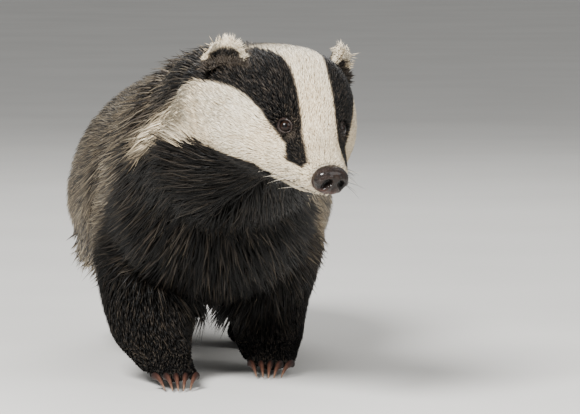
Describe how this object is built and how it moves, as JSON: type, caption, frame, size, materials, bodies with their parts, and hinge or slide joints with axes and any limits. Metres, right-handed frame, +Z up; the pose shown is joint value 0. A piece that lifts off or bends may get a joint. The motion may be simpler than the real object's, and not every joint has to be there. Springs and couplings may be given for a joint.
{
  "type": "european badger",
  "caption": "Life-size still model of a standing badger with its striped head turned and lowered, a grizzled grey coat, black legs and chest, long claws and a short tail.",
  "frame": {"origin": "on the ground, under the middle of the whole animal's bounding box", "axes": "the animal faces -Y with its rump at +Y, +X is its own left, +Z is up and the soles lie at Z 0"},
  "size_m": [0.2496, 0.8016, 0.297],
  "materials": {
    "grey_coat": "coarse grizzled grey fur",
    "black_coat": "dense black fur with a slight sheen",
    "white_coat": "cream white fur, striped with black in the render",
    "nose_skin": "moist dark bare skin",
    "claw_horn": "semi-gloss horn",
    "eye_ball": "wet polished dark eye"
  },
  "bodies": {
    "root": {"head": "white_coat", "neck": "white_coat", "torso": "grey_coat", "tail": "grey_coat", "nose": "nose_skin", "ear_left": "black_coat", "ear_right": "black_coat", "eye_left": "eye_ball", "eye_right": "eye_ball", "leg_fore_left": "black_coat", "paw_fore_left": "black_coat", "claw_fore_left_1": "claw_horn", "claw_fore_left_2": "claw_horn", "claw_fore_left_3": "claw_horn", "claw_fore_left_4": "claw_horn", "claw_fore_left_5": "claw_horn", "leg_fore_right": "black_coat", "paw_fore_right": "black_coat", "claw_fore_right_1": "claw_horn", "claw_fore_right_2": "claw_horn", "claw_fore_right_3": "claw_horn", "claw_fore_right_4": "claw_horn", "claw_fore_right_5": "claw_horn", "leg_hind_left": "black_coat", "paw_hind_left": "black_coat", "claw_hind_left_1": "claw_horn", "claw_hind_left_2": "claw_horn", "claw_hind_left_3": "claw_horn", "claw_hind_left_4": "claw_horn", "claw_hind_left_5": "claw_horn", "leg_hind_right": "black_coat", "paw_hind_right": "black_coat", "claw_hind_right_1": "claw_horn", "claw_hind_right_2": "claw_horn", "claw_hind_right_3": "claw_horn", "claw_hind_right_4": "claw_horn", "claw_hind_right_5": "claw_horn"}
  },
  "joints": []
}
